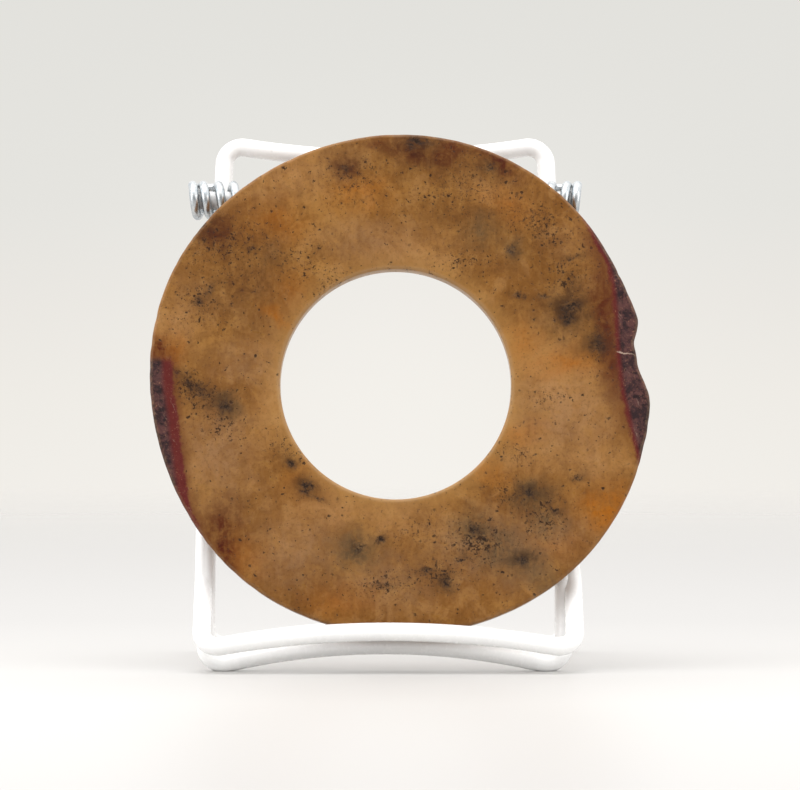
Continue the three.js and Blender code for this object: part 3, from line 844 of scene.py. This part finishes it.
def make_coil(name, sign, material):
    per_turn = 40
    open_steps = round(COIL_OPEN_TURNS * per_turn)
    steps = open_steps + per_turn
    open_run = COIL_OUTER_X - COIL_CLOSED_PITCH - COIL_INNER_X
    points = []
    for i in range(steps + 1):
        turn = 2 * math.pi * (i - steps) / per_turn
        opened = min(i / open_steps, 1) * open_run
        closed = max(i - open_steps, 0) / per_turn * COIL_CLOSED_PITCH
        points.append(Vector((
            sign * (COIL_INNER_X + opened + closed),
            HINGE_Y + COIL_MEAN * math.sin(turn),
            HINGE_Z + COIL_MEAN * math.cos(turn),
        )))
    top = points[-1]
    back_out = Vector((sign * COIL_OUTER_X, TAIL_Y, top.z))
    back_in = Vector((sign * TAIL_END_X, TAIL_Y, top.z))
    points += [*round_corner(top, back_out, back_in, 2, 10), back_in]
    return make_piece(name, [sweep_wire(points, COIL_WIRE, 16, end_round=0.3)], [material])


jade = jade_material()
coat = coat_material()
wire_end = steel_material("bare_wire_end", (0.34, 0.33, 0.32), (0.52, 0.51, 0.50), 0.30, 0.45)
plated = steel_material("spring_chrome", (0.40, 0.44, 0.47), (0.60, 0.62, 0.63), 0.24, 0.34)

ring = make_disc(jade)
front = make_front_frame([coat])
leg = make_rear_leg([coat, wire_end])
coil_left = make_coil("coil_left", -1, plated)
coil_right = make_coil("coil_right", 1, plated)

for piece, body, node, slot_name in (
    (ring, "stand", "jade_disc", "jade"),
    (front, "stand", "front_frame", "coated_wire"),
    (leg, "leg", "rear_leg", "coated_wire"),
    (coil_left, "stand", "spring_left", "spring_wire"),
    (coil_right, "stand", "spring_right", "spring_wire"),
):
    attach(piece, body)
    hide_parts(node)


# ---------------------------------------------------------------- floor, light and camera
TABLE_RADIUS = 2.0
TABLE_FADE = (0.10, 1.7)
# Painted shade on the table: brightest along one line across it, darker towards the front and behind the
# stand.
TABLE_BRIGHTEST_Y = -0.11
TABLE_PAINTED_LIT, TABLE_PAINTED_SHADE = (0.545, 0.535, 0.522), (0.455, 0.447, 0.440)


def make_floor():
    """A pale table with painted shade, darker away from its brightest line, that fades into the
    surroundings.
    """
    n = Surface("pale_table")
    at = n.new("ShaderNodeTexCoord").outputs["Object"]
    away = n.new("ShaderNodeVectorMath", operation="LENGTH")
    n.link(at, away.inputs[0])
    split = n.new("ShaderNodeSeparateXYZ")
    n.link(at, split.inputs[0])
    # Painted shade: the base colour darkens with distance from the brightest line.
    off = n.math("ABSOLUTE", n.math("SUBTRACT", split.outputs[1], TABLE_BRIGHTEST_Y))
    tone = n.mix(n.ramp_linear(off, 0.0, 0.26), TABLE_PAINTED_LIT, TABLE_PAINTED_SHADE)
    n.link(tone, n.shader.inputs["Base Color"])
    n.set(Roughness=0.42, Specular_IOR_Level=0.12)
    clear = n.new("ShaderNodeBsdfTransparent")
    blend = n.new("ShaderNodeMixShader")
    n.link(n.ramp(away.outputs["Value"], *TABLE_FADE), blend.inputs[0])
    n.link(n.shader.outputs[0], blend.inputs[1])
    n.link(clear.outputs[0], blend.inputs[2])
    n.link(blend.outputs[0], n.out.inputs["Surface"])
    bpy.ops.mesh.primitive_circle_add(
        vertices=96, radius=TABLE_RADIUS, fill_type="NGON", location=(0, 0, 0))
    floor = bpy.context.object
    floor.name = "table"
    floor.data.materials.append(n.material)


# Tones of the backdrop, from 6 degrees below the horizon to 6 above
BACKDROP_REACH = 0.11
BACKDROP = [
    (0.0, (0.965, 0.955, 0.935)), (0.15, (0.940, 0.925, 0.900)), (0.22, (0.913, 0.890, 0.855)),
    (0.37, (0.885, 0.860, 0.815)), (0.50, (0.862, 0.838, 0.790)), (0.62, (0.825, 0.803, 0.762)),
    (0.74, (0.785, 0.776, 0.740)), (1.0, (0.765, 0.757, 0.722)),
]
BACKDROP_GLOW = (0.97, 0.945, 0.90)
LIGHT_COLOUR = (1.0, 0.99, 0.975, 1.0)


def make_world():
    """A white tent: bright above, darker towards the camera, with a plain pale backdrop."""
    world = bpy.data.worlds.new("tent")
    bpy.context.scene.world = world
    world.use_nodes = True
    n = Nodes(world.node_tree)
    out = n.new("ShaderNodeOutputWorld")
    lit = n.new("ShaderNodeBackground")
    seen = n.new("ShaderNodeBackground")
    both = n.new("ShaderNodeMixShader")
    split = n.new("ShaderNodeSeparateXYZ")
    n.link(n.new("ShaderNodeTexCoord").outputs["Generated"], split.inputs[0])
    dx, dy, dz = split.outputs
    up = n.ramp(dz, -0.05, 0.9, 1.05, 1.62)
    towards_camera = n.ramp(n.math("MULTIPLY", dy, -1.0), 0.60, 0.95, 1.0, 0.46)
    level = n.math("MULTIPLY", up, towards_camera)
    n.link(level, lit.inputs["Strength"])
    lit.inputs["Color"].default_value = LIGHT_COLOUR
    tones = n.new("ShaderNodeValToRGB")
    n.link(n.ramp_linear(dz, -BACKDROP_REACH, BACKDROP_REACH), tones.inputs[0])
    elements = tones.color_ramp.elements
    for element, (position, tone) in zip(elements, (BACKDROP[0], BACKDROP[-1])):
        element.position, element.color = position, (*tone, 1.0)
    for position, tone in BACKDROP[1:-1]:
        elements.new(position).color = (*tone, 1.0)
    centre = n.math("MULTIPLY",
                    n.ramp(n.math("ABSOLUTE", dx), BACKDROP_REACH, 0.0),
                    n.ramp(dz, BACKDROP_REACH, 0.0))
    backdrop = n.mix(n.math("MULTIPLY", centre, 0.35), tones.outputs[0], BACKDROP_GLOW)
    n.link(backdrop, seen.inputs["Color"])
    n.link(n.new("ShaderNodeLightPath").outputs["Is Camera Ray"], both.inputs[0])
    n.link(lit.outputs[0], both.inputs[1])
    n.link(seen.outputs[0], both.inputs[2])
    n.link(both.outputs[0], out.inputs["Surface"])


LIGHT_TARGET = Vector((0, -0.02, 0.06))
# Soft lights: name, place, size, power
LIGHTS = [
    ("top_soft", (-0.10, -0.15, 0.75), (0.7, 0.6), 3.0),
    ("left_soft", (-0.75, -0.45, 0.35), (0.5, 0.6), 1.8),
    ("right_soft", (0.75, -0.40, 0.30), (0.5, 0.6), 1.4),
]


def add_light(name, at, size, power):
    data = bpy.data.lights.new(name, "AREA")
    data.shape = "RECTANGLE"
    data.size, data.size_y = size
    data.energy = power
    light = bpy.data.objects.new(name, data)
    bpy.context.scene.collection.objects.link(light)
    light.location = at
    light.rotation_euler = (LIGHT_TARGET - Vector(at)).to_track_quat("-Z", "Y").to_euler()


CAMERA_AT = (0.0001, -0.8222, 0.0603)
FOCAL_PIXELS = 3646.3
IMAGE_WIDTH = 800
SENSOR = 36.0

make_floor()
make_world()
for light_values in LIGHTS:
    add_light(*light_values)

camera_data = bpy.data.cameras.new("camera")
camera_data.sensor_width = SENSOR
camera_data.lens = FOCAL_PIXELS * SENSOR / IMAGE_WIDTH
camera_data.clip_start = 0.01
camera = bpy.data.objects.new("camera", camera_data)
bpy.context.scene.collection.objects.link(camera)
camera.location = CAMERA_AT
camera.rotation_euler = (math.pi / 2, 0.0, 0.0)
bpy.context.scene.camera = camera
bpy.context.scene.view_settings.view_transform = "Standard"
